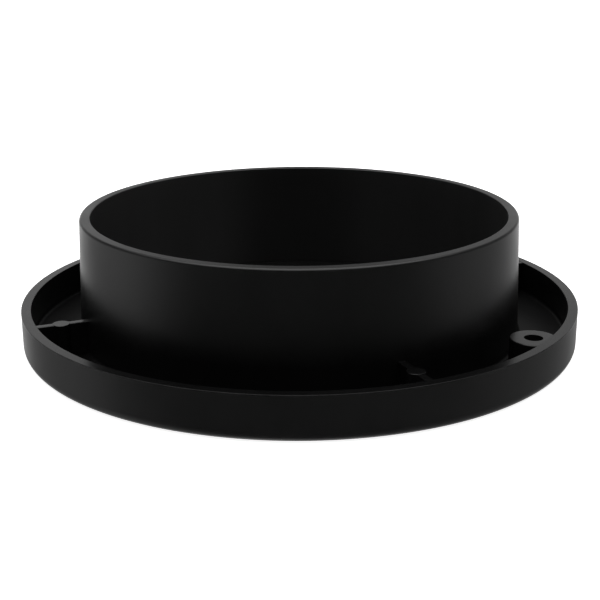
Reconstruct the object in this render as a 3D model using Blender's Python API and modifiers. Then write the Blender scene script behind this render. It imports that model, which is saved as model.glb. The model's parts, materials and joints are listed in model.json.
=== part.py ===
"""Flanged outlet collar for a 100 mm duct, with a two-flap non-return shutter inside its bore.

The collar lies as it is mounted: flange plate down, bore axis along +Z, origin at the centre of the plate's
underside. The two flaps hinge on one pin that runs along X, low in the bore, and open upwards like wings.
"""

import math

import bmesh
import bpy
from mathutils import Matrix, Vector

# Driving dimensions, in metres
COLLAR_R = 0.0500            # outer radius of the collar's mouth, a 100 mm duct size
COLLAR_FOOT_R = 0.05095      # the wall widens to this at the plate, 2 degrees of moulding draft
COLLAR_WALL = 0.0024
COLLAR_HEIGHT = 0.0300
FLANGE_R = 0.06405
RIM_HEIGHT = 0.0100
RIM_WALL = 0.0022
PLATE_THICKNESS = 0.0024
LEDGE_R = 0.0450             # radius of the hole in the plate; the ledge inside the bore carries the damper ring
LEDGE_THICKNESS = 0.0012
PIN_R = 0.0009
FLAP_R = 0.0462
FLAP_THICKNESS = 0.0012

# Fits
GAP = 0.0003                 # round fits and side clearances
FACE_GAP = 0.0002            # between flat faces that rest on each other

# Derived places
BORE_R = COLLAR_R - COLLAR_WALL
RIM_IN_R = FLANGE_R - RIM_WALL
RIB_TOP = RIM_HEIGHT - 0.00005
RING_R = BORE_R - GAP
RING_BOTTOM = LEDGE_THICKNESS + FACE_GAP
RING_TOP = RING_BOTTOM + 0.0016
SEAT_R = 0.0436
FLAP_BOTTOM = RING_TOP + FACE_GAP
FLAP_TOP = FLAP_BOTTOM + FLAP_THICKNESS
KNUCKLE_R = 0.0018
KNUCKLE_BORE_R = PIN_R + GAP
AXIS_Z = FLAP_BOTTOM + KNUCKLE_R
FLAP_EDGE = 0.0024           # the flap plate starts this far from the pin, clear of the knuckles

# Ribs, pads and screw bosses between collar and rim
RIB_ANGLES = [math.radians(203.5 - 90.0 * k) for k in range(4)]
RIB_WIDTH = 0.0017
PAD_R = 0.00195
PAD_CENTRE_R = 0.0565
BOSS_ANGLES = [math.radians(-34.1 + 180.0 * k) for k in range(2)]
BOSS_CENTRE_R = 0.0590
BOSS_R = 0.0050
SCREW_HOLE_R = 0.0020

# Gasket groove in the underside of the plate
GROOVE_IN_R = 0.0503
GROOVE_OUT_R = 0.0555
GROOVE_DEPTH = 0.0012

# Stretches of the pin, along X, that one flap's knuckles take; the other flap is the same piece turned round
KNUCKLES = [(0.0022, 0.0100), (0.0360, 0.0429), (-0.0180, -0.0104), (-0.0356, -0.0285)]
END_LUG = (0.0446, 0.0466)
CENTRE_LUG = (-0.0018, 0.0018)
LUG_R = 0.0019
FIN_HALF_WIDTH = 0.0008
FIN_TOP = AXIS_Z + 0.0040
CROSSBAR_HALF_WIDTH = 0.0040

# Springs
SPRING_X = 0.02325
SPRING_TURNS = 6
SPRING_PITCH = 0.0009
SPRING_COIL_R = 0.0015
WIRE_R = 0.0002
LEG_REACH = 0.0130

ROUND_STEPS = 72
HALF_TURN = Matrix.Rotation(math.pi, 4, "Z")


def clear_scene():
    for obj in list(bpy.data.objects):
        bpy.data.objects.remove(obj, do_unlink=True)


def new_collection(name):
    collection = bpy.data.collections.new(name)
    bpy.context.scene.collection.children.link(collection)
    return collection


def material(name, colour, roughness, metallic=0.0):
    made = bpy.data.materials.new(name)
    made.use_nodes = True
    shader = made.node_tree.nodes["Principled BSDF"]
    shader.inputs["Base Color"].default_value = (*colour, 1.0)
    shader.inputs["Roughness"].default_value = roughness
    shader.inputs["Metallic"].default_value = metallic
    return made


def add(name, mesh, collection, surface=None):
    obj = bpy.data.objects.new(name, mesh)
    collection.objects.link(obj)
    if surface:
        mesh.materials.append(surface)
    return obj


def turned(name, profile, collection, surface=None):
    """Turn a closed outline of (radius, height) points about Z; it runs down its outer side."""
    mesh = bpy.data.meshes.new(name)
    points = [(radius, 0.0, height) for radius, height in profile]
    edges = [(k, (k + 1) % len(points)) for k in range(len(points))]
    mesh.from_pydata(points, edges, [])
    obj = add(name, mesh, collection, surface)
    screw = obj.modifiers.new("turn", "SCREW")
    screw.axis = "Z"
    screw.angle = 2.0 * math.pi
    screw.steps = ROUND_STEPS
    screw.render_steps = ROUND_STEPS
    screw.use_merge_vertices = True
    screw.merge_threshold = 0.00001
    return obj


def as_cutter(obj):
    obj.hide_render = True
    obj.display_type = "WIRE"
    return obj


def box(name, low, high, collection):
    """A block between two corners."""
    mesh = bpy.data.meshes.new(name)
    shape = bmesh.new()
    bmesh.ops.create_cube(shape, size=1.0)
    size = Vector(high) - Vector(low)
    centre = (Vector(high) + Vector(low)) / 2.0
    bmesh.ops.scale(shape, vec=size, verts=shape.verts)
    bmesh.ops.translate(shape, vec=centre, verts=shape.verts)
    shape.to_mesh(mesh)
    shape.free()
    return add(name, mesh, collection)


def rod(name, radius, start, end, collection, segments=24, surface=None):
    """A solid cylinder from one point to another."""
    start = Vector(start)
    end = Vector(end)
    along = end - start
    turn = Vector((0.0, 0.0, 1.0)).rotation_difference(along).to_matrix().to_4x4()
    mesh = bpy.data.meshes.new(name)
    shape = bmesh.new()
    bmesh.ops.create_cone(
        shape, cap_ends=True, segments=segments, radius1=radius, radius2=radius, depth=along.length
    )
    bmesh.ops.transform(shape, matrix=Matrix.Translation((start + end) / 2.0) @ turn, verts=shape.verts)
    shape.to_mesh(mesh)
    shape.free()
    return add(name, mesh, collection, surface)


def boolean(obj, other, operation):
    step = obj.modifiers.new(operation.lower(), "BOOLEAN")
    step.operation = operation
    step.solver = "EXACT"
    step.object = as_cutter(other)


def polar(radius, angle, height=0.0):
    return Vector((radius * math.cos(angle), radius * math.sin(angle), height))


def arc(centre, radius, start_deg, end_deg, steps):
    """Points on an arc in the profile plane, ends included."""
    points = []
    for k in range(steps + 1):
        angle = math.radians(start_deg + (end_deg - start_deg) * k / steps)
        points.append((centre[0] + radius * math.cos(angle), centre[1] + radius * math.sin(angle)))
    return points


def collar_profile():
    """Section of the moulding: collar, plate with its gasket groove, rim with a rounded lower edge."""
    edge = 0.0024
    lip = 0.0005
    fillet = 0.0008
    profile = arc((COLLAR_R - lip, COLLAR_HEIGHT - lip), lip, 90.0, 0.0, 3)
    profile += arc((COLLAR_FOOT_R + fillet, PLATE_THICKNESS + fillet), fillet, 180.0, 270.0, 3)
    profile += arc((RIM_IN_R - fillet, PLATE_THICKNESS + fillet), fillet, 270.0, 360.0, 3)
    profile += [(RIM_IN_R, RIM_HEIGHT), (FLANGE_R, RIM_HEIGHT)]
    profile += arc((FLANGE_R - edge, edge), edge, 0.0, -90.0, 5)
    profile += [(GROOVE_OUT_R, 0.0), (GROOVE_OUT_R, GROOVE_DEPTH)]
    profile += [(GROOVE_IN_R, GROOVE_DEPTH), (GROOVE_IN_R, 0.0)]
    profile += [(LEDGE_R, 0.0), (LEDGE_R, LEDGE_THICKNESS), (BORE_R, LEDGE_THICKNESS)]
    profile += [(BORE_R, COLLAR_HEIGHT)]
    return profile


def outlet_collar(parts, cutters, plastic):
    body = turned("outlet_collar", collar_profile(), parts, plastic)
    root = (PLATE_THICKNESS + GROOVE_DEPTH) / 2.0
    for number, angle in enumerate(RIB_ANGLES):
        inner = COLLAR_R - COLLAR_WALL / 2.0
        outer = RIM_IN_R + RIM_WALL / 2.0
        rib = box(
            f"rib_{number}", (inner, -RIB_WIDTH / 2.0, root), (outer, RIB_WIDTH / 2.0, RIB_TOP), cutters
        )
        rib.matrix_world = Matrix.Rotation(angle, 4, "Z")
        boolean(body, rib, "UNION")
        pad = rod(
            f"pad_{number}",
            PAD_R,
            polar(PAD_CENTRE_R, angle, root),
            polar(PAD_CENTRE_R, angle, RIB_TOP + 0.00003),
            cutters,
        )
        boolean(body, pad, "UNION")
    for number, angle in enumerate(BOSS_ANGLES):
        boss = rod(
            f"boss_{number}",
            BOSS_R,
            polar(BOSS_CENTRE_R, angle, root),
            polar(BOSS_CENTRE_R, angle, RIB_TOP),
            cutters,
            segments=40,
        )
        boolean(body, boss, "UNION")
    for number, angle in enumerate(BOSS_ANGLES):
        hole = rod(
            f"screw_hole_{number}",
            SCREW_HOLE_R,
            polar(BOSS_CENTRE_R, angle, -0.002),
            polar(BOSS_CENTRE_R, angle, RIM_HEIGHT + 0.002),
            cutters,
            segments=32,
        )
        boolean(body, hole, "DIFFERENCE")
    for number in range(4):
        angle = math.radians(45.0 + 90.0 * number)
        nib = box(
            f"snap_nib_{number}",
            (RING_R - 0.0005, -0.0020, RING_TOP + FACE_GAP),
            (BORE_R + 0.0010, 0.0020, RING_TOP + FACE_GAP + 0.0010),
            cutters,
        )
        nib.matrix_world = Matrix.Rotation(angle, 4, "Z")
        boolean(body, nib, "UNION")


def flange_gasket(parts, foam):
    """Flat ring, drawn pressed flush with the underside of the plate."""
    inner = GROOVE_IN_R + GAP
    outer = GROOVE_OUT_R - GAP
    top = GROOVE_DEPTH - FACE_GAP
    turned("flange_gasket", [(outer, top), (outer, 0.0), (inner, 0.0), (inner, top)], parts, foam)


def damper_ring(parts, cutters, plastic):
    """Seat ring with a crossbar under the pin, three pin lugs and the fin that stops the open flaps."""
    profile = [(RING_R, RING_TOP), (RING_R, RING_BOTTOM), (SEAT_R, RING_BOTTOM), (SEAT_R, RING_TOP)]
    ring = turned("damper_ring", profile, parts, plastic)
    inset = 0.00005
    reach = (SEAT_R + RING_R) / 2.0
    crossbar = box(
        "crossbar",
        (-reach, -CROSSBAR_HALF_WIDTH, RING_BOTTOM + inset),
        (reach, CROSSBAR_HALF_WIDTH, RING_TOP - inset),
        cutters,
    )
    boolean(ring, crossbar, "UNION")
    spans = [END_LUG, CENTRE_LUG, (-END_LUG[1], -END_LUG[0])]
    middle = (RING_BOTTOM + RING_TOP) / 2.0
    for number, (start, end) in enumerate(spans):
        neck = LUG_R - 0.00015
        foot = box(f"lug_foot_{number}", (start, -neck, middle), (end, neck, AXIS_Z), cutters)
        boolean(ring, foot, "UNION")
        eye = rod(
            f"lug_eye_{number}", LUG_R, (start - inset, 0.0, AXIS_Z), (end + inset, 0.0, AXIS_Z), cutters
        )
        boolean(ring, eye, "UNION")
    fin = box(
        "stop_fin",
        (CENTRE_LUG[0] + 0.0003, -FIN_HALF_WIDTH, AXIS_Z),
        (CENTRE_LUG[1] - 0.0003, FIN_HALF_WIDTH, FIN_TOP),
        cutters,
    )
    boolean(ring, fin, "UNION")
    bore = rod("pin_bore", PIN_R + GAP, (-BORE_R, 0.0, AXIS_Z), (BORE_R, 0.0, AXIS_Z), cutters)
    boolean(ring, bore, "DIFFERENCE")


def flap(name, parts, cutters, plastic, place):
    """Half-round flap on the +Y side of the pin; place turns it round for the other side."""
    plate = rod(
        name, FLAP_R, (0.0, 0.0, FLAP_BOTTOM), (0.0, 0.0, FLAP_TOP), parts, ROUND_STEPS, plastic
    )
    beyond = FLAP_R + 0.005
    other_half = box(
        f"{name}_cut", (-beyond, -beyond, FLAP_BOTTOM - 0.002), (beyond, FLAP_EDGE, FLAP_TOP + 0.002), cutters
    )
    boolean(plate, other_half, "DIFFERENCE")
    rebate = turned(
        f"{name}_rebate",
        [
            (beyond, seal_top() + FACE_GAP),
            (beyond, FLAP_BOTTOM - 0.001),
            (SEAT_R - GAP, FLAP_BOTTOM - 0.001),
            (SEAT_R - GAP, seal_top() + FACE_GAP),
        ],
        cutters,
    )
    boolean(plate, rebate, "DIFFERENCE")
    for number, offset in enumerate((-0.032, -0.0145, 0.0145, 0.032)):
        length = math.sqrt((SEAT_R - 0.002) ** 2 - offset**2)
        stiffener = box(
            f"{name}_stiffener_{number}",
            (offset - 0.0005, FLAP_EDGE + 0.0004, FLAP_TOP - 0.0004),
            (offset + 0.0005, length, FLAP_TOP + 0.0008),
            cutters,
        )
        boolean(plate, stiffener, "UNION")
    inset = 0.00005
    for number, (start, end) in enumerate(KNUCKLES):
        web = box(
            f"{name}_web_{number}",
            (start + inset, 0.0, FLAP_BOTTOM + inset),
            (end - inset, FLAP_EDGE + 0.0008, FLAP_TOP - inset),
            cutters,
        )
        boolean(plate, web, "UNION")
        knuckle = rod(f"{name}_knuckle_{number}", KNUCKLE_R, (start, 0.0, AXIS_Z), (end, 0.0, AXIS_Z), cutters)
        boolean(plate, knuckle, "UNION")
    bore = rod(f"{name}_bore", KNUCKLE_BORE_R, (-BORE_R, 0.0, AXIS_Z), (BORE_R, 0.0, AXIS_Z), cutters)
    boolean(plate, bore, "DIFFERENCE")
    finish_moving(plate, cutters, place)


def finish_moving(obj, cutters, place):
    """Apply the modelling steps, turn the piece into place and put its origin on the pin's axis."""
    evaluated = obj.evaluated_get(bpy.context.evaluated_depsgraph_get())
    mesh = bpy.data.meshes.new_from_object(evaluated)
    obj.modifiers.clear()
    obj.data = mesh
    pivot = Vector((0.0, 0.0, AXIS_Z))
    mesh.transform(Matrix.Translation(-pivot) @ place)
    obj.matrix_world = Matrix.Translation(pivot)


def seal_top():
    return FLAP_BOTTOM + 0.00045


def flap_seal(name, parts, cutters, rubber, place):
    """Soft half-ring strip in the rebate under the flap's curved edge."""
    inner = SEAT_R
    outer = FLAP_R - 0.0002
    profile = [(outer, seal_top()), (outer, FLAP_BOTTOM), (inner, FLAP_BOTTOM), (inner, seal_top())]
    strip = turned(name, profile, parts, rubber)
    beyond = FLAP_R + 0.005
    other_half = box(
        f"{name}_cut", (-beyond, -beyond, 0.0), (beyond, FLAP_EDGE + GAP, FLAP_TOP), cutters
    )
    boolean(strip, other_half, "DIFFERENCE")
    finish_moving(strip, cutters, place)


def hinge_pin(parts, steel):
    reach = RING_R - 0.0004
    rod("hinge_pin", PIN_R, (-reach, 0.0, AXIS_Z), (reach, 0.0, AXIS_Z), parts, 24, steel)


def spring_points(centre_x):
    """Leg over one flap, coil round the pin, leg over the other flap."""
    tip_z = FLAP_TOP + FACE_GAP + WIRE_R
    root_z = AXIS_Z + SPRING_COIL_R
    length = SPRING_TURNS * SPRING_PITCH
    start_x = centre_x - length / 2.0
    end_x = centre_x + length / 2.0
    points = [Vector((start_x, LEG_REACH, tip_z)), Vector((start_x, LEG_REACH / 2.0, (tip_z + root_z) / 2.0))]
    around = 10
    for k in range(SPRING_TURNS * around + 1):
        angle = math.pi / 2.0 + 2.0 * math.pi * k / around
        y = SPRING_COIL_R * math.cos(angle)
        z = AXIS_Z + SPRING_COIL_R * math.sin(angle)
        points.append(Vector((start_x + length * k / (SPRING_TURNS * around), y, z)))
    points += [Vector((end_x, -LEG_REACH / 2.0, (tip_z + root_z) / 2.0)), Vector((end_x, -LEG_REACH, tip_z))]
    return points


def spring(name, centre_x, parts, steel):
    curve = bpy.data.curves.new(name, "CURVE")
    curve.dimensions = "3D"
    curve.bevel_depth = WIRE_R
    curve.bevel_resolution = 2
    curve.use_fill_caps = True
    points = spring_points(centre_x)
    line = curve.splines.new("POLY")
    line.points.add(len(points) - 1)
    for point, place in zip(line.points, points):
        point.co = (*place, 1.0)
    curve.materials.append(steel)
    obj = bpy.data.objects.new(name, curve)
    parts.objects.link(obj)


def shade(parts):
    for obj in parts.objects:
        if obj.type == "MESH" and not obj.modifiers:
            obj.data.shade_smooth()
            obj.data.set_sharp_from_angle(angle=math.radians(35.0))


def main():
    clear_scene()
    parts = new_collection("outlet_collar_with_shutter")
    cutters = new_collection("cutters")
    black = material("black_plastic", (0.012, 0.012, 0.012), 0.42)
    black_insert = material("black_insert_plastic", (0.014, 0.014, 0.014), 0.50)
    flap_black = material("flap_plastic", (0.013, 0.013, 0.013), 0.50)
    foam = material("foam_rubber", (0.030, 0.030, 0.032), 0.90)
    rubber = material("seal_rubber", (0.020, 0.020, 0.022), 0.75)
    steel = material("spring_steel", (0.62, 0.62, 0.60), 0.30, 1.0)
    outlet_collar(parts, cutters, black)
    flange_gasket(parts, foam)
    damper_ring(parts, cutters, black_insert)
    flap("flap_rear", parts, cutters, flap_black, Matrix.Identity(4))
    flap("flap_front", parts, cutters, flap_black, HALF_TURN)
    flap_seal("flap_seal_rear", parts, cutters, rubber, Matrix.Identity(4))
    flap_seal("flap_seal_front", parts, cutters, rubber, HALF_TURN)
    hinge_pin(parts, steel)
    spring("spring_right", SPRING_X, parts, steel)
    spring("spring_left", -SPRING_X, parts, steel)
    shade(parts)


main()
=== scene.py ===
"""Looks of the flanged outlet collar with its non-return shutter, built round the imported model."""

import json
import math

import bmesh
import bpy
from mathutils import Matrix, Vector

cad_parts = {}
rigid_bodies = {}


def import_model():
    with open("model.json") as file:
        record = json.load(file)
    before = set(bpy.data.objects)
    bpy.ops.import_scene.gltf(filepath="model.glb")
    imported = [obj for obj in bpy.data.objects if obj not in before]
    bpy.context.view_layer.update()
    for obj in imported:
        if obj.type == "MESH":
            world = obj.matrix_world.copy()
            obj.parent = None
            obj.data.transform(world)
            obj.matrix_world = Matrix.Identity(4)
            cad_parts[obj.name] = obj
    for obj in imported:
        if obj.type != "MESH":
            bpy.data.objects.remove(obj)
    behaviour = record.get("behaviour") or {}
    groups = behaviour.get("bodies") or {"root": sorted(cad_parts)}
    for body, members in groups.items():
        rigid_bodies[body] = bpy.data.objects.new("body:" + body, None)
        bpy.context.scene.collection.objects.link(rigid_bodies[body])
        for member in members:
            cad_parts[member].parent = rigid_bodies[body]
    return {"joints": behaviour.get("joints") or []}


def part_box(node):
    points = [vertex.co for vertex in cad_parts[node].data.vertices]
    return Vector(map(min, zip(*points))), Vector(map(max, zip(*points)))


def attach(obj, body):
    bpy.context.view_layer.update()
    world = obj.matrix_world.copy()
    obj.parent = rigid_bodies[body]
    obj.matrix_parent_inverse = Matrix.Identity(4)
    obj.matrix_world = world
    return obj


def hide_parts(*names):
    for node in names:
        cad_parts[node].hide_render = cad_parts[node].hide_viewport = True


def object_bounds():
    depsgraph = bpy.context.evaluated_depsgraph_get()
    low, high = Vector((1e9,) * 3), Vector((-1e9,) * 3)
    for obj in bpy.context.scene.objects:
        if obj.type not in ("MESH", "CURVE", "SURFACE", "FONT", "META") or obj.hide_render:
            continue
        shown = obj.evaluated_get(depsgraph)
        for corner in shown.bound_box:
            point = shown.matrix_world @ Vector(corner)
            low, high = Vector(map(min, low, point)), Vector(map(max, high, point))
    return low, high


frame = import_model()
cad_low, cad_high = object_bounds()

# Sizes read from the frame, in metres
FLANGE_R = cad_high.x
COLLAR_HEIGHT = cad_high.z
AXIS_Z = frame["joints"][0]["pos_m"][2]
RING_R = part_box("damper_ring")[1].x
RING_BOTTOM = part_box("damper_ring")[0].z
FIN_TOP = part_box("damper_ring")[1].z
FLAP_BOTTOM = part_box("flap_rear")[0].z
FLAP_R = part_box("flap_rear")[1].y
SEAL_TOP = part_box("flap_seal_rear")[1].z
SEAL_OUT_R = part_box("flap_seal_rear")[1].y
GASKET_OUT_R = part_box("flange_gasket")[1].x
GASKET_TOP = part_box("flange_gasket")[1].z
PIN_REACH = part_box("hinge_pin")[1].x
PIN_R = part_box("hinge_pin")[1].y

# Fits and wall thicknesses that the boxes don't give
GAP = 0.0003
FACE_GAP = 0.0002
COLLAR_WALL = 0.0024
BORE_R = RING_R + GAP
COLLAR_R = BORE_R + COLLAR_WALL
COLLAR_FOOT_R = COLLAR_R + 0.00095
RIM_HEIGHT = 0.0100
RIM_WALL = 0.0022
RIM_IN_R = FLANGE_R - RIM_WALL
PLATE_THICKNESS = 0.0024
LEDGE_R = 0.0450
LEDGE_THICKNESS = RING_BOTTOM - FACE_GAP
GROOVE_OUT_R = GASKET_OUT_R + GAP
GROOVE_IN_R = 0.0503
GROOVE_DEPTH = GASKET_TOP + FACE_GAP
SEAT_R = 0.0436
RING_TOP = FLAP_BOTTOM - FACE_GAP
FLAP_TOP = FLAP_BOTTOM + 0.0012
FLAP_EDGE = 0.0024
STIFFENER_X = (-0.0320, -0.0145, 0.0145, 0.0320)
KNUCKLE_R = AXIS_Z - FLAP_BOTTOM
KNUCKLES = [(0.0022, 0.0100), (0.0360, 0.0429), (-0.0180, -0.0104), (-0.0356, -0.0285)]
END_LUG = (0.0446, 0.0466)
CENTRE_LUG = (-0.0018, 0.0018)
LUG_R = 0.0019
FIN_HALF_WIDTH = 0.0008
CROSSBAR_HALF_WIDTH = 0.0040

# Ribs, ejector pads and screw bosses between collar and rim
RIB_ANGLES = [math.radians(203.5 - 90.0 * k) for k in range(4)]
RIB_TOP = RIM_HEIGHT - 0.00005
RIB_WIDTH = 0.0017
PAD_R = 0.00195
PAD_CENTRE_R = 0.0565
BOSS_ANGLES = [math.radians(-34.1 + 180.0 * k) for k in range(2)]
BOSS_CENTRE_R = 0.0590
BOSS_R = 0.0050
SCREW_HOLE_R = 0.0020

# Snap nibs that hold the shutter's ring down in the bore
NIB_HALF_WIDTH = 0.0020
NIB_HEIGHT = 0.0010

# Springs
SPRING_X = 0.02325
SPRING_TURNS = 6
SPRING_LENGTH = 0.0054
SPRING_COIL_R = 0.0015
WIRE_R = 0.0002
LEG_REACH = 0.0130
LEG_BESIDE = 0.0003          # each leg lies this far outside the end of its coil

HALF_TURN = Matrix.Rotation(math.pi, 4, "Z")
FINE_STEPS = 288
scratch = bpy.data.collections.new("scratch")
bpy.context.scene.collection.children.link(scratch)


# ---------------------------------------------------------------- mesh building


def show(name, mesh, collection=None):
    obj = bpy.data.objects.new(name, mesh)
    (collection or bpy.context.scene.collection).objects.link(obj)
    return obj


def arc(centre, radius, start_deg, end_deg, steps):
    """Points on an arc in the profile plane, ends included."""
    points = []
    for k in range(steps + 1):
        angle = math.radians(start_deg + (end_deg - start_deg) * k / steps)
        points.append((centre[0] + radius * math.cos(angle), centre[1] + radius * math.sin(angle)))
    return points


def turned(name, profile, steps=FINE_STEPS, collection=scratch):
    """Turn a closed outline of (radius, height) points about Z; it runs down its outer side."""
    mesh = bpy.data.meshes.new(name)
    points = [(radius, 0.0, height) for radius, height in profile]
    mesh.from_pydata(points, [(k, (k + 1) % len(points)) for k in range(len(points))], [])
    obj = show(name, mesh, collection)
    screw = obj.modifiers.new("turn", "SCREW")
    screw.steps = steps
    screw.render_steps = steps
    screw.use_merge_vertices = True
    screw.merge_threshold = 0.00001
    return obj


def bevelled_edges(shape, keep, width, segments):
    """Round the edges that keep() picks."""
    edges = [edge for edge in shape.edges if keep(edge)]
    if edges and width:
        bmesh.ops.bevel(
            shape,
            geom=edges,
            offset=width,
            segments=segments,
            profile=0.5,
            affect="EDGES",
            clamp_overlap=True,
        )


def box(name, low, high, round_edge=0.0, keep=None, place=None, collection=scratch):
    """A block between two corners, with chosen edges rounded."""
    shape = bmesh.new()
    bmesh.ops.create_cube(shape, size=1.0)
    size = Vector(high) - Vector(low)
    bmesh.ops.scale(shape, vec=size, verts=shape.verts)
    bmesh.ops.translate(shape, vec=(Vector(high) + Vector(low)) / 2.0, verts=shape.verts)
    bevelled_edges(shape, keep or (lambda edge: True), round_edge, 3)
    if place:
        bmesh.ops.transform(shape, matrix=place, verts=shape.verts)
    mesh = bpy.data.meshes.new(name)
    shape.to_mesh(mesh)
    shape.free()
    return show(name, mesh, collection)


def rod(name, radius, start, end, segments=48, round_start=0.0, round_end=0.0, collection=scratch):
    """A solid cylinder from one point to another, with its end edges rounded."""
    start = Vector(start)
    end = Vector(end)
    along = end - start
    shape = bmesh.new()
    bmesh.ops.create_cone(
        shape, cap_ends=True, segments=segments, radius1=radius, radius2=radius, depth=along.length
    )
    half = along.length / 2.0
    for side, width in ((-1.0, round_start), (1.0, round_end)):
        bevelled_edges(
            shape, lambda edge: all(vert.co.z * side > half * 0.999 for vert in edge.verts), width, 3
        )
    turn = Vector((0.0, 0.0, 1.0)).rotation_difference(along).to_matrix().to_4x4()
    bmesh.ops.transform(shape, matrix=Matrix.Translation((start + end) / 2.0) @ turn, verts=shape.verts)
    mesh = bpy.data.meshes.new(name)
    shape.to_mesh(mesh)
    shape.free()
    return show(name, mesh, collection)


def boolean(obj, other, operation):
    step = obj.modifiers.new(operation.lower(), "BOOLEAN")
    step.operation = operation
    step.solver = "EXACT"
    step.object = other


def polar(radius, angle, height=0.0):
    return Vector((radius * math.cos(angle), radius * math.sin(angle), height))


def settled(obj, name, sharp_deg=32.0, place=None):
    """The object's evaluated mesh as a finished piece, smooth but for its sharp edges."""
    evaluated = obj.evaluated_get(bpy.context.evaluated_depsgraph_get())
    mesh = bpy.data.meshes.new_from_object(evaluated)
    mesh.name = name
    if place:
        mesh.transform(place)
    shape = bmesh.new()
    shape.from_mesh(mesh)
    bmesh.ops.remove_doubles(shape, verts=shape.verts, dist=0.000001)
    bmesh.ops.dissolve_degenerate(shape, edges=shape.edges, dist=0.000001)
    bmesh.ops.recalc_face_normals(shape, faces=shape.faces)
    shape.to_mesh(mesh)
    shape.free()
    mesh.shade_smooth()
    mesh.set_sharp_from_angle(angle=math.radians(sharp_deg))
    piece = show(name, mesh)
    weighted = piece.modifiers.new("flat_faces", "WEIGHTED_NORMAL")
    weighted.keep_sharp = True
    weighted.weight = 80
    return piece


def wire(name, points, radius):
    """Round wire through the points, as a closed mesh."""
    curve = bpy.data.curves.new(name, "CURVE")
    curve.dimensions = "3D"
    curve.bevel_depth = radius
    curve.bevel_resolution = 3
    curve.use_fill_caps = True
    line = curve.splines.new("POLY")
    line.points.add(len(points) - 1)
    for point, place in zip(line.points, points):
        point.co = (*place, 1.0)
    obj = bpy.data.objects.new(name + "_path", curve)
    scratch.objects.link(obj)
    return settled(obj, name, 60.0)


# ---------------------------------------------------------------- materials


class Nodes:
    """A material's node tree, with short calls for the nodes that every surface here uses."""

    def __init__(self, name):
        self.material = bpy.data.materials.new(name)
        self.material.use_nodes = True
        self.tree = self.material.node_tree
        self.shader = self.tree.nodes["Principled BSDF"]
        self.place = self.node("ShaderNodeTexCoord").outputs["Object"]
        self.colour = None
        self.gloss = None

    def node(self, kind, **settings):
        made = self.tree.nodes.new(kind)
        for key, value in settings.items():
            setattr(made, key, value)
        return made

    def link(self, source, target):
        self.tree.links.new(source, target)

    def stretched(self, scale):
        mapping = self.node("ShaderNodeMapping")
        mapping.inputs["Scale"].default_value = scale
        self.link(self.place, mapping.inputs["Vector"])
        return mapping.outputs["Vector"]

    def noise(self, scale, detail=3.0, roughness=0.5, vector=None):
        made = self.node("ShaderNodeTexNoise")
        made.inputs["Scale"].default_value = scale
        made.inputs["Detail"].default_value = detail
        made.inputs["Roughness"].default_value = roughness
        self.link(vector or self.place, made.inputs["Vector"])
        return made.outputs["Fac"]

    def span(self, value, low, high, to_low, to_high, smooth=False):
        made = self.node("ShaderNodeMapRange")
        made.interpolation_type = "SMOOTHSTEP" if smooth else "LINEAR"
        made.inputs["From Min"].default_value = low
        made.inputs["From Max"].default_value = high
        made.inputs["To Min"].default_value = to_low
        made.inputs["To Max"].default_value = to_high
        self.link(value, made.inputs["Value"])
        return made.outputs["Result"]

    def maths(self, operation, first, second):
        made = self.node("ShaderNodeMath", operation=operation)
        for socket, value in zip(made.inputs, (first, second)):
            if isinstance(value, float):
                socket.default_value = value
            else:
                self.link(value, socket)
        return made.outputs["Value"]

    def between(self, value, first, second):
        made = self.node("ShaderNodeMix", data_type="RGBA")
        made.inputs[6].default_value = (*first, 1.0)
        made.inputs[7].default_value = (*second, 1.0)
        self.link(value, made.inputs[0])
        return made.outputs[2]

    def mixed(self, value, under, over):
        made = self.node("ShaderNodeMix", data_type="RGBA")
        made.inputs[7].default_value = (*over, 1.0)
        self.link(under, made.inputs[6])
        self.link(value, made.inputs[0])
        return made.outputs[2]

    def bumped(self, height, distance, strength=1.0, under=None):
        made = self.node("ShaderNodeBump")
        made.inputs["Distance"].default_value = distance
        made.inputs["Strength"].default_value = strength
        self.link(height, made.inputs["Height"])
        if under:
            self.link(under, made.inputs["Normal"])
        return made.outputs["Normal"]


def near(nodes, value, place, reach):
    """1 where the value is at the place, fading to 0 at the reach."""
    offset = nodes.maths("ABSOLUTE", nodes.maths("SUBTRACT", value, place), 0.0)
    return nodes.span(offset, 0.0, reach, 1.0, 0.0, smooth=True)


def from_axis(nodes):
    """Distance from the bore's axis, height above the flange face, and place along X, in metres."""
    split = nodes.node("ShaderNodeSeparateXYZ")
    nodes.link(nodes.place, split.inputs["Vector"])
    flat = nodes.node("ShaderNodeCombineXYZ")
    nodes.link(split.outputs["X"], flat.inputs["X"])
    nodes.link(split.outputs["Y"], flat.inputs["Y"])
    length = nodes.node("ShaderNodeVectorMath", operation="LENGTH")
    nodes.link(flat.outputs["Vector"], length.inputs[0])
    return length.outputs["Value"], split.outputs["Z"], split.outputs["X"]


def moulded_plastic(name, dark, light, roughness, grain):
    """Black moulded plastic: slow waviness, spark-eroded grain, patchy tone and gloss.

    The tone and gloss stay on the returned nodes, for a surface that adds to them.
    """
    nodes = Nodes(name)
    patches = nodes.span(nodes.noise(90.0, 4.0, 0.6), 0.25, 0.75, 0.0, 1.0, smooth=True)
    nodes.colour = nodes.between(patches, dark, light)
    sheen = nodes.noise(45.0, 3.0, 0.55)
    nodes.gloss = nodes.span(sheen, 0.25, 0.75, roughness - 0.04, roughness + 0.04, smooth=True)
    waves = nodes.bumped(nodes.noise(55.0, 2.0, 0.4), 0.00012, 0.5)
    normal = nodes.bumped(nodes.noise(grain, 2.0, 0.6), 0.00001, 0.6, waves)
    nodes.link(nodes.colour, nodes.shader.inputs["Base Color"])
    nodes.link(nodes.gloss, nodes.shader.inputs["Roughness"])
    nodes.link(normal, nodes.shader.inputs["Normal"])
    nodes.shader.inputs["IOR"].default_value = 1.5
    return nodes


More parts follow.
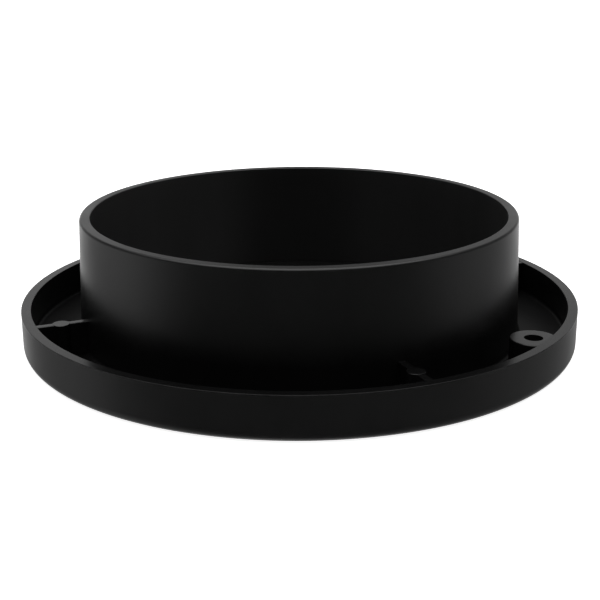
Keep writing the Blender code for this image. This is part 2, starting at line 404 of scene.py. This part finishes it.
def collar_plastic(name):
    """The moulding's plastic, with rubbed edges, a painted reflection in the bore, painted light on the
    rim's side faces and a matt trough.
    """
    nodes = moulded_plastic(name, (0.0038, 0.0038, 0.0039), (0.0052, 0.0052, 0.0053), 0.325, 5200.0)
    radius, height, side = from_axis(nodes)
    rubbed = None
    for edge_radius, edge_height, reach in (
        (COLLAR_R, COLLAR_HEIGHT, 0.0007),
        (BORE_R, COLLAR_HEIGHT, 0.0005),
        (FLANGE_R, RIM_HEIGHT, 0.0006),
        (FLANGE_R - 0.0006, 0.0006, 0.0011),
    ):
        spot = nodes.maths(
            "MULTIPLY", near(nodes, radius, edge_radius, reach), near(nodes, height, edge_height, reach)
        )
        rubbed = spot if rubbed is None else nodes.maths("MAXIMUM", rubbed, spot)
    patchy = nodes.span(nodes.noise(260.0, 3.0, 0.7), 0.35, 0.62, 0.0, 1.0, smooth=True)
    rubbed = nodes.maths("MULTIPLY", rubbed, patchy)
    # Painted reflection in the bore: the bore wall is mixed towards a lighter grey in vertical streaks,
    # strongest on the left, weaker on the right and faint in the middle.
    inside = nodes.span(radius, BORE_R + 0.0001, BORE_R + 0.0003, 1.0, 0.0)
    reflection_streaks = nodes.noise(38.0, 3.0, 0.5, nodes.stretched((1.0, 1.0, 0.15)))
    painted_bore_reflection = nodes.maths("MULTIPLY", inside, nodes.span(reflection_streaks, 0.2, 0.8, 0.70, 1.20, smooth=True))
    left = nodes.span(side, -0.027, -0.006, 1.0, 0.28, smooth=True)
    left = nodes.maths("MULTIPLY", left, nodes.span(side, -0.047, -0.034, 0.76, 1.0, smooth=True))
    right = nodes.span(side, 0.004, 0.024, 0.0, 0.28, smooth=True)
    painted_bore_reflection = nodes.maths("MULTIPLY", painted_bore_reflection, nodes.maths("ADD", left, right))
    floor_top = PLATE_THICKNESS + 0.0002
    trough = nodes.span(height, floor_top, floor_top + 0.0014, 1.0, 0.0, smooth=True)
    trough = nodes.maths("MULTIPLY", trough, nodes.span(radius, COLLAR_R, COLLAR_R + 0.0004, 0.0, 1.0))
    trough = nodes.maths("MULTIPLY", trough, nodes.span(radius, RIM_IN_R, RIM_IN_R + 0.0003, 1.0, 0.0))
    rim = nodes.span(radius, RIM_IN_R - 0.0003, RIM_IN_R, 0.0, 1.0)
    # Painted light on the rim's side faces: below the rim top the rim is mixed a quarter of the way
    # towards a lighter grey.
    below_top = nodes.span(height, RIM_HEIGHT - 0.0005, RIM_HEIGHT - 0.0001, 0.25, 0.0)
    rim_side_painted_light = nodes.maths("MULTIPLY", rim, below_top)
    tone = nodes.mixed(rim_side_painted_light, nodes.colour, (0.0110, 0.0110, 0.0110))
    tone = nodes.mixed(rubbed, tone, (0.009, 0.009, 0.009))
    tone = nodes.mixed(painted_bore_reflection, tone, (0.0520, 0.0520, 0.0523))
    nodes.link(tone, nodes.shader.inputs["Base Color"])
    outside = nodes.span(radius, COLLAR_FOOT_R + 0.0002, COLLAR_FOOT_R + 0.0005, 0.0, 1.0)
    at_top = nodes.span(height, RIM_HEIGHT - 0.0003, RIM_HEIGHT - 0.0001, 0.0, 1.0)
    tops = nodes.maths("MULTIPLY", outside, at_top)
    gloss = nodes.maths("SUBTRACT", nodes.gloss, nodes.maths("MULTIPLY", rubbed, 0.05))
    gloss = nodes.maths("ADD", gloss, nodes.maths("MULTIPLY", trough, 0.10))
    gloss = nodes.maths("MAXIMUM", gloss, 0.285)
    gloss = nodes.maths("SUBTRACT", gloss, nodes.maths("MULTIPLY", tops, 0.12))
    nodes.link(gloss, nodes.shader.inputs["Roughness"])
    shine = nodes.span(height, 0.012, COLLAR_HEIGHT, 0.45, 0.54, smooth=True)
    shine = nodes.maths("MULTIPLY", shine, nodes.span(trough, 0.0, 1.0, 1.0, 0.22))
    shine = nodes.maths("SUBTRACT", shine, nodes.maths("MULTIPLY", rim, 0.14))
    nodes.shader.inputs["Specular IOR Level"].default_value = 0.45
    nodes.link(shine, nodes.shader.inputs["Specular IOR Level"])
    return nodes.material


def rubber(name, dark, light, grain, depth):
    nodes = Nodes(name)
    tone = nodes.span(nodes.noise(300.0, 4.0, 0.6), 0.3, 0.7, 0.0, 1.0)
    nodes.link(nodes.between(tone, dark, light), nodes.shader.inputs["Base Color"])
    nodes.link(nodes.span(nodes.noise(700.0), 0.3, 0.7, 0.68, 0.85), nodes.shader.inputs["Roughness"])
    cells = nodes.node("ShaderNodeTexVoronoi")
    cells.inputs["Scale"].default_value = grain
    nodes.link(nodes.place, cells.inputs["Vector"])
    nodes.link(nodes.bumped(cells.outputs["Distance"], depth, 0.8), nodes.shader.inputs["Normal"])
    return nodes.material


def drawn_steel(name, along):
    """Bright steel with fine lines along the wire or pin, and a few duller patches."""
    nodes = Nodes(name)
    stretch = tuple(0.04 if k == along else 1.0 for k in range(3))
    lines = nodes.noise(9000.0, 3.0, 0.6, nodes.stretched(stretch))
    patches = nodes.noise(400.0, 3.0, 0.6)
    tone = nodes.between(nodes.span(patches, 0.35, 0.65, 0.0, 1.0), (0.42, 0.42, 0.41), (0.62, 0.61, 0.59))
    nodes.link(tone, nodes.shader.inputs["Base Color"])
    nodes.link(nodes.span(patches, 0.3, 0.7, 0.38, 0.29), nodes.shader.inputs["Roughness"])
    nodes.link(nodes.bumped(lines, 0.000004, 0.6), nodes.shader.inputs["Normal"])
    nodes.shader.inputs["Metallic"].default_value = 1.0
    return nodes.material


def finish_piece(obj, surface, body, node):
    obj.data.materials.clear()
    obj.data.materials.append(surface)
    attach(obj, body)
    if node:
        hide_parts(node)
    return obj


# ---------------------------------------------------------------- the collar moulding


def collar_profile():
    """Section of the moulding: collar, plate with its gasket groove, rim with a rounded lower edge."""
    edge = 0.0024
    lip = 0.00060
    inner_lip = 0.00022
    crisp = 0.00009
    fillet = 0.0008
    profile = arc((COLLAR_R - lip, COLLAR_HEIGHT - lip), lip, 90.0, 0.0, 6)
    profile += arc((COLLAR_FOOT_R + fillet, PLATE_THICKNESS + fillet), fillet, 180.0, 270.0, 6)
    profile += arc((RIM_IN_R - fillet, PLATE_THICKNESS + fillet), fillet, 270.0, 360.0, 6)
    profile += arc((RIM_IN_R + crisp, RIM_HEIGHT - crisp), crisp, 180.0, 90.0, 4)
    profile += arc((FLANGE_R - crisp, RIM_HEIGHT - crisp), crisp, 90.0, 0.0, 4)
    profile += arc((FLANGE_R - edge, edge), edge, 0.0, -90.0, 12)
    profile += [(GROOVE_OUT_R, 0.0), (GROOVE_OUT_R, GROOVE_DEPTH)]
    profile += [(GROOVE_IN_R, GROOVE_DEPTH), (GROOVE_IN_R, 0.0)]
    profile += [(LEDGE_R, 0.0), (LEDGE_R, LEDGE_THICKNESS), (BORE_R, LEDGE_THICKNESS)]
    profile += arc((BORE_R + inner_lip, COLLAR_HEIGHT - inner_lip), inner_lip, 180.0, 90.0, 4)
    return profile


def along_top(edge):
    """Long upper edges of a rib before it is turned into place."""
    first, second = (vert.co for vert in edge.verts)
    return min(first.z, second.z) > RIB_TOP - 0.0001 and abs(first.y - second.y) < 0.0001


def outlet_collar(surface):
    body = turned("collar_turned", collar_profile())
    root = (PLATE_THICKNESS + GROOVE_DEPTH) / 2.0
    for number, angle in enumerate(RIB_ANGLES):
        turn = Matrix.Rotation(angle, 4, "Z")
        low = (COLLAR_R - COLLAR_WALL / 2.0, -RIB_WIDTH / 2.0, root)
        high = (RIM_IN_R + RIM_WALL / 2.0, RIB_WIDTH / 2.0, RIB_TOP)
        boolean(body, box(f"rib_{number}", low, high, 0.0002, along_top, turn), "UNION")
        base = polar(PAD_CENTRE_R, angle, root)
        top = polar(PAD_CENTRE_R, angle, RIB_TOP + 0.00003)
        boolean(body, rod(f"pad_{number}", PAD_R, base, top, 48, 0.0, 0.00015), "UNION")
    for number, angle in enumerate(BOSS_ANGLES):
        base = polar(BOSS_CENTRE_R, angle, root)
        top = polar(BOSS_CENTRE_R, angle, RIB_TOP)
        boolean(body, rod(f"boss_{number}", BOSS_R, base, top, 96, 0.0, 0.00025), "UNION")
    for number, angle in enumerate(BOSS_ANGLES):
        low = polar(BOSS_CENTRE_R, angle, -0.002)
        high = polar(BOSS_CENTRE_R, angle, RIM_HEIGHT + 0.002)
        boolean(body, rod(f"screw_hole_{number}", SCREW_HOLE_R, low, high, 64), "DIFFERENCE")
    for number in range(4):
        turn = Matrix.Rotation(math.radians(45.0 + 90.0 * number), 4, "Z")
        low = (RING_R - 0.0005, -NIB_HALF_WIDTH, RING_TOP + FACE_GAP)
        high = (BORE_R + 0.0010, NIB_HALF_WIDTH, RING_TOP + FACE_GAP + NIB_HEIGHT)
        boolean(body, box(f"snap_nib_{number}", low, high, 0.0002, None, turn), "UNION")
    piece = settled(body, "outlet_collar_moulding")
    return finish_piece(piece, surface, "collar", "outlet_collar")


def flange_gasket(surface):
    inner = GROOVE_IN_R + GAP
    soft = 0.0003
    profile = arc((GASKET_OUT_R - soft, GASKET_TOP - soft), soft, 90.0, 0.0, 4)
    profile += arc((GASKET_OUT_R - soft, soft), soft, 0.0, -90.0, 4)
    profile += arc((inner + soft, soft), soft, -90.0, -180.0, 4)
    profile += arc((inner + soft, GASKET_TOP - soft), soft, 180.0, 90.0, 4)
    piece = settled(turned("gasket_turned", profile), "gasket_ring")
    return finish_piece(piece, surface, "collar", "flange_gasket")


# ---------------------------------------------------------------- the shutter


def damper_ring(surface):
    soft = 0.0002
    profile = arc((RING_R - soft, RING_TOP - soft), soft, 90.0, 0.0, 3)
    profile += arc((RING_R - soft, RING_BOTTOM + soft), soft, 0.0, -90.0, 3)
    profile += arc((SEAT_R + soft, RING_BOTTOM + soft), soft, -90.0, -180.0, 3)
    profile += arc((SEAT_R + soft, RING_TOP - soft), soft, 180.0, 90.0, 3)
    ring = turned("ring_turned", profile)
    inset = 0.00005
    reach = (SEAT_R + RING_R) / 2.0
    low = (-reach, -CROSSBAR_HALF_WIDTH, RING_BOTTOM + inset)
    high = (reach, CROSSBAR_HALF_WIDTH, RING_TOP - inset)
    boolean(ring, box("crossbar", low, high, 0.0002), "UNION")
    middle = (RING_BOTTOM + RING_TOP) / 2.0
    neck = LUG_R - 0.00015
    for number, (start, end) in enumerate([END_LUG, CENTRE_LUG, (-END_LUG[1], -END_LUG[0])]):
        boolean(ring, box(f"lug_foot_{number}", (start, -neck, middle), (end, neck, AXIS_Z)), "UNION")
        first = (start - inset, 0.0, AXIS_Z)
        second = (end + inset, 0.0, AXIS_Z)
        boolean(ring, rod(f"lug_eye_{number}", LUG_R, first, second, 48, 0.0002, 0.0002), "UNION")
    low = (CENTRE_LUG[0] + 0.0003, -FIN_HALF_WIDTH, AXIS_Z)
    high = (CENTRE_LUG[1] - 0.0003, FIN_HALF_WIDTH, FIN_TOP)
    boolean(ring, box("stop_fin", low, high, 0.0003), "UNION")
    bore = rod("pin_bore", PIN_R + GAP, (-BORE_R, 0.0, AXIS_Z), (BORE_R, 0.0, AXIS_Z), 48)
    boolean(ring, bore, "DIFFERENCE")
    piece = settled(ring, "damper_carrier")
    return finish_piece(piece, surface, "collar", "damper_ring")


def flap_shape():
    """One flap on the +Y side of the pin; the other is the same piece turned round."""
    soft = 0.00025
    hub = 0.001
    profile = [(hub, FLAP_TOP)]
    profile += arc((FLAP_R - soft, FLAP_TOP - soft), soft, 90.0, 0.0, 4)
    profile += [(FLAP_R, SEAL_TOP + FACE_GAP), (SEAT_R - GAP, SEAL_TOP + FACE_GAP)]
    profile += [(SEAT_R - GAP, FLAP_BOTTOM), (hub, FLAP_BOTTOM)]
    plate = turned("flap_turned", profile)
    beyond = FLAP_R + 0.005
    low = (-beyond, -beyond, FLAP_BOTTOM - 0.002)
    high = (beyond, FLAP_EDGE, FLAP_TOP + 0.002)
    boolean(plate, box("flap_cut", low, high), "DIFFERENCE")
    for number, offset in enumerate(STIFFENER_X):
        length = math.sqrt((SEAT_R - 0.002) ** 2 - offset**2)
        low = (offset - 0.0005, FLAP_EDGE + 0.0004, FLAP_TOP - 0.0004)
        high = (offset + 0.0005, length, FLAP_TOP + 0.0008)
        boolean(plate, box(f"stiffener_{number}", low, high, 0.0002), "UNION")
    inset = 0.00005
    for number, (start, end) in enumerate(KNUCKLES):
        low = (start + inset, 0.0, FLAP_BOTTOM + inset)
        high = (end - inset, FLAP_EDGE + 0.0008, FLAP_TOP - inset)
        boolean(plate, box(f"web_{number}", low, high), "UNION")
        first = (start, 0.0, AXIS_Z)
        second = (end, 0.0, AXIS_Z)
        boolean(plate, rod(f"knuckle_{number}", KNUCKLE_R, first, second, 48, 0.0002, 0.0002), "UNION")
    bore = rod("flap_bore", PIN_R + GAP, (-BORE_R, 0.0, AXIS_Z), (BORE_R, 0.0, AXIS_Z), 48)
    boolean(plate, bore, "DIFFERENCE")
    return plate


def flaps(surface):
    shape = flap_shape()
    for side, place in (("rear", Matrix.Identity(4)), ("front", HALF_TURN)):
        piece = settled(shape, f"{side}_flap_plate", 32.0, place)
        finish_piece(piece, surface, f"{side}_flap", f"flap_{side}")


def flap_seals(surface):
    soft = 0.00015
    middle = (SEAL_TOP + FLAP_BOTTOM) / 2.0
    profile = [(SEAL_OUT_R - soft, SEAL_TOP), (SEAL_OUT_R, middle), (SEAL_OUT_R - soft, FLAP_BOTTOM)]
    profile += [(SEAT_R + soft, FLAP_BOTTOM), (SEAT_R, middle), (SEAT_R + soft, SEAL_TOP)]
    strip = turned("seal_turned", profile)
    beyond = FLAP_R + 0.005
    other_half = box("seal_cut", (-beyond, -beyond, 0.0), (beyond, FLAP_EDGE + GAP, FLAP_TOP))
    boolean(strip, other_half, "DIFFERENCE")
    for side, place in (("rear", Matrix.Identity(4)), ("front", HALF_TURN)):
        piece = settled(strip, f"{side}_seal_strip", 32.0, place)
        finish_piece(piece, surface, f"{side}_flap", f"flap_seal_{side}")


def hinge_pin(surface):
    ends = ((-PIN_REACH, 0.0, AXIS_Z), (PIN_REACH, 0.0, AXIS_Z))
    piece = settled(rod("pin_rod", PIN_R, *ends, 64, 0.0002, 0.0002), "pin_shaft")
    return finish_piece(piece, surface, "collar", "hinge_pin")


def coil_points(centre_x, around=28):
    points = []
    for k in range(SPRING_TURNS * around + 1):
        angle = math.pi / 2.0 + 2.0 * math.pi * k / around
        x = centre_x + SPRING_LENGTH * (k / (SPRING_TURNS * around) - 0.5)
        points.append((x, SPRING_COIL_R * math.cos(angle), AXIS_Z + SPRING_COIL_R * math.sin(angle)))
    return points


def leg_points(x, side, steps=20):
    """From the top of the coil out over the flap until it lies on it; side is +1 or -1 along Y."""
    tip_z = FLAP_TOP + FACE_GAP + WIRE_R
    root_z = AXIS_Z + SPRING_COIL_R
    points = []
    for k in range(steps + 1):
        t = k / steps
        ease = t * (2.0 - t)
        points.append((x, side * LEG_REACH * t, root_z + (tip_z - root_z) * ease))
    return points


def springs(surface):
    for side, centre_x in (("left", -SPRING_X), ("right", SPRING_X)):
        coil = wire(f"spring_{side}_coil", coil_points(centre_x), WIRE_R)
        finish_piece(coil, surface, "collar", f"spring_{side}")
        start_x = centre_x - SPRING_LENGTH / 2.0 - LEG_BESIDE
        end_x = centre_x + SPRING_LENGTH / 2.0 + LEG_BESIDE
        rear = wire(f"spring_{side}_rear_leg", leg_points(start_x, 1.0), WIRE_R)
        finish_piece(rear, surface, "rear_flap", None)
        front = wire(f"spring_{side}_front_leg", leg_points(end_x, -1.0), WIRE_R)
        finish_piece(front, surface, "front_flap", None)


# ---------------------------------------------------------------- studio

CAMERA_ELEVATION = 17.75     # degrees above the horizon
CAMERA_ROLL = -0.25          # degrees
CAMERA_DISTANCE = 5.5 * COLLAR_R
CAMERA_LENS = 69.8           # millimetres on a 36 mm sensor
CAMERA_TARGET = Vector((0.0025, 0.0, 0.1575)) * COLLAR_R


def camera():
    data = bpy.data.cameras.new("camera")
    data.lens = CAMERA_LENS
    data.sensor_width = 36.0
    data.clip_start = 0.01
    data.clip_end = 50.0
    cam = bpy.data.objects.new("camera", data)
    bpy.context.scene.collection.objects.link(cam)
    rise = math.radians(CAMERA_ELEVATION)
    back = Vector((0.0, -math.cos(rise), math.sin(rise)))
    facing = (-back).to_track_quat("-Z", "Y").to_matrix().to_4x4()
    roll = Matrix.Rotation(math.radians(CAMERA_ROLL), 4, "Z")
    cam.matrix_world = Matrix.Translation(CAMERA_TARGET + back * CAMERA_DISTANCE) @ facing @ roll
    bpy.context.scene.camera = cam


# Brightness of the studio round the horizon, by compass angle from behind the object, as (degrees, level)
HORIZON = [
    (-180, 0.055), (-150, 0.05), (-128, 0.07), (-112, 0.18), (-98, 0.46), (-86, 0.60), (-68, 0.38),
    (-48, 0.32), (-32, 0.68), (-14, 1.45), (0, 0.30), (14, 1.20), (32, 0.62), (48, 0.32),
    (75, 0.28), (94, 0.30), (108, 0.18), (125, 0.08), (150, 0.05), (180, 0.055),
]
# Share of that brightness by height, as (sine of the elevation, share)
FADE = [(-0.34, 0.80), (-0.22, 1.22), (-0.05, 1.0), (0.16, 0.44), (0.36, 0.41), (0.60, 0.12)]
OVERHEAD = 1.7
FLOOR_R = 4.0
BACKDROP_R = 4.2


def filled(ramp, stops):
    """Give a colour ramp its grey stops, as (place, level)."""
    ramp.color_ramp.interpolation = "EASE"
    elements = ramp.color_ramp.elements
    elements.remove(elements[1])
    for number, (place, level) in enumerate(stops):
        stop = elements[0] if number == 0 else elements.new(place)
        stop.position = place
        stop.color = (level, level, level, 1.0)


def world():
    made = bpy.data.worlds.new("studio")
    bpy.context.scene.world = made
    made.use_nodes = True
    tree = made.node_tree
    nodes = tree.nodes
    split = nodes.new("ShaderNodeSeparateXYZ")
    tree.links.new(nodes.new("ShaderNodeTexCoord").outputs["Generated"], split.inputs[0])
    angle = nodes.new("ShaderNodeMath")
    angle.operation = "ARCTAN2"
    tree.links.new(split.outputs["X"], angle.inputs[0])
    tree.links.new(split.outputs["Y"], angle.inputs[1])
    round_trip = nodes.new("ShaderNodeMapRange")
    round_trip.inputs["From Min"].default_value = -math.pi
    round_trip.inputs["From Max"].default_value = math.pi
    tree.links.new(angle.outputs[0], round_trip.inputs["Value"])
    ramp = nodes.new("ShaderNodeValToRGB")
    filled(ramp, [((degrees + 180.0) / 360.0, level) for degrees, level in HORIZON])
    tree.links.new(round_trip.outputs["Result"], ramp.inputs["Fac"])
    lift = nodes.new("ShaderNodeMapRange")
    lift.interpolation_type = "SMOOTHSTEP"
    lift.inputs["From Min"].default_value = 0.62
    lift.inputs["From Max"].default_value = 0.90
    lift.inputs["To Max"].default_value = OVERHEAD
    tree.links.new(split.outputs["Z"], lift.inputs["Value"])
    fade = nodes.new("ShaderNodeValToRGB")
    filled(fade, [((height + 1.0) / 2.0, share) for height, share in FADE])
    height = nodes.new("ShaderNodeMapRange")
    height.inputs["From Min"].default_value = -1.0
    tree.links.new(split.outputs["Z"], height.inputs["Value"])
    tree.links.new(height.outputs["Result"], fade.inputs["Fac"])
    band = nodes.new("ShaderNodeVectorMath")
    band.operation = "MULTIPLY"
    tree.links.new(ramp.outputs["Color"], band.inputs[0])
    tree.links.new(fade.outputs["Color"], band.inputs[1])
    total = nodes.new("ShaderNodeVectorMath")
    total.operation = "ADD"
    tree.links.new(band.outputs[0], total.inputs[0])
    tree.links.new(lift.outputs["Result"], total.inputs[1])
    tree.links.new(total.outputs[0], nodes["Background"].inputs["Color"])


def floor():
    """White floor, see-through from below, and a white wall far behind it that only the camera sees."""
    mesh = bpy.data.meshes.new("floor")
    shape = bmesh.new()
    bmesh.ops.create_circle(shape, cap_ends=True, segments=96, radius=FLOOR_R)
    bmesh.ops.translate(shape, vec=(0.0, 0.0, -0.0001), verts=shape.verts)
    shape.to_mesh(mesh)
    shape.free()
    ground = show("floor", mesh)
    surface = bpy.data.materials.new("floor_white")
    surface.use_nodes = True
    tree = surface.node_tree
    white = tree.nodes["Principled BSDF"]
    white.inputs["Base Color"].default_value = (0.92, 0.92, 0.92, 1.0)
    white.inputs["Roughness"].default_value = 0.9
    white.inputs["Emission Color"].default_value = (1.0, 1.0, 1.0, 1.0)
    white.inputs["Emission Strength"].default_value = 0.92
    side = tree.nodes.new("ShaderNodeNewGeometry")
    clear = tree.nodes.new("ShaderNodeBsdfTransparent")
    choice = tree.nodes.new("ShaderNodeMixShader")
    tree.links.new(side.outputs["Backfacing"], choice.inputs[0])
    tree.links.new(white.outputs["BSDF"], choice.inputs[1])
    tree.links.new(clear.outputs["BSDF"], choice.inputs[2])
    tree.links.new(choice.outputs["Shader"], tree.nodes["Material Output"].inputs["Surface"])
    mesh.materials.append(surface)
    ground.visible_glossy = False

    mesh = bpy.data.meshes.new("backdrop")
    shape = bmesh.new()
    bmesh.ops.create_uvsphere(shape, u_segments=64, v_segments=32, radius=BACKDROP_R)
    shape.to_mesh(mesh)
    shape.free()
    wall = show("backdrop", mesh)
    paper = bpy.data.materials.new("backdrop_white")
    paper.use_nodes = True
    glow = paper.node_tree.nodes.new("ShaderNodeEmission")
    glow.inputs["Strength"].default_value = 1.1
    ending = paper.node_tree.nodes["Material Output"]
    paper.node_tree.links.new(glow.outputs["Emission"], ending.inputs["Surface"])
    mesh.materials.append(paper)
    wall.visible_glossy = False
    wall.visible_diffuse = False
    wall.visible_transmission = False
    wall.visible_shadow = False


def build():
    black = collar_plastic("black_satin_moulding")
    insert = moulded_plastic(
        "insert_moulding", (0.0045, 0.0045, 0.0045), (0.0065, 0.0065, 0.0065), 0.36, 4200.0
    ).material
    flap_plastic = moulded_plastic(
        "flap_moulding", (0.0040, 0.0040, 0.0040), (0.0060, 0.0060, 0.0060), 0.33, 4200.0
    ).material
    foam = rubber("gasket_foam", (0.020, 0.020, 0.021), (0.034, 0.034, 0.035), 2600.0, 0.00008)
    seal = rubber("seal_rubber", (0.014, 0.014, 0.015), (0.022, 0.022, 0.023), 6000.0, 0.00002)
    steel = drawn_steel("pin_steel", 0)
    wire_steel = drawn_steel("wire_steel", 1)
    outlet_collar(black)
    flange_gasket(foam)
    damper_ring(insert)
    flaps(flap_plastic)
    flap_seals(seal)
    hinge_pin(steel)
    springs(wire_steel)
    for leftover in list(scratch.objects):
        bpy.data.objects.remove(leftover, do_unlink=True)


build()
camera()
world()
floor()
bpy.context.scene.view_settings.view_transform = "Standard"
